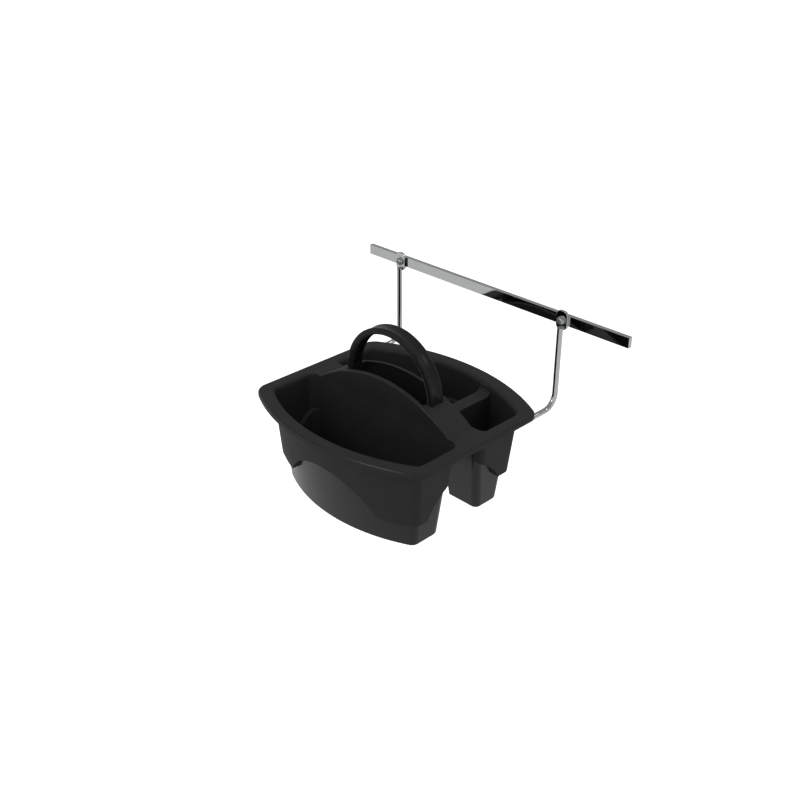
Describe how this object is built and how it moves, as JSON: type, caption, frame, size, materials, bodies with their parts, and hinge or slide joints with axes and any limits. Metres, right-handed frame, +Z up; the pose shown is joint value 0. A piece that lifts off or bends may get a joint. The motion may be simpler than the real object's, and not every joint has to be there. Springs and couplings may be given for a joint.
{
  "type": "tool storage caddy",
  "caption": "Black plastic carry caddy with arched handle, bins and a pocket, lifting off two bent round-bar arms bolted to a flat chrome wall rail",
  "frame": {"origin": "On the rail's back face, midway between the two hanger screws and at the rail's mid-height", "axes": "+X to the right seen from the front, +Y into the wall, +Z up"},
  "size_m": [0.45, 0.3128, 0.2528],
  "materials": {
    "chrome": "polished",
    "zinc": "bright zinc plated",
    "black_plastic": "satin, fine grain"
  },
  "bodies": {
    "hanger": {"rail": "chrome", "left_lug": "chrome", "right_lug": "chrome", "left_arm": "chrome", "right_arm": "chrome", "left_washer": "zinc", "right_washer": "zinc", "left_screw": "zinc", "right_screw": "zinc"},
    "caddy": {"caddy_tub": "black_plastic", "carry_handle": "black_plastic"}
  },
  "joints": [
    {"name": "caddy_lift", "type": "slide", "parent": "hanger", "child": "caddy", "axis": [0, 0, 1], "range_m": [0, 0.15]}
  ]
}
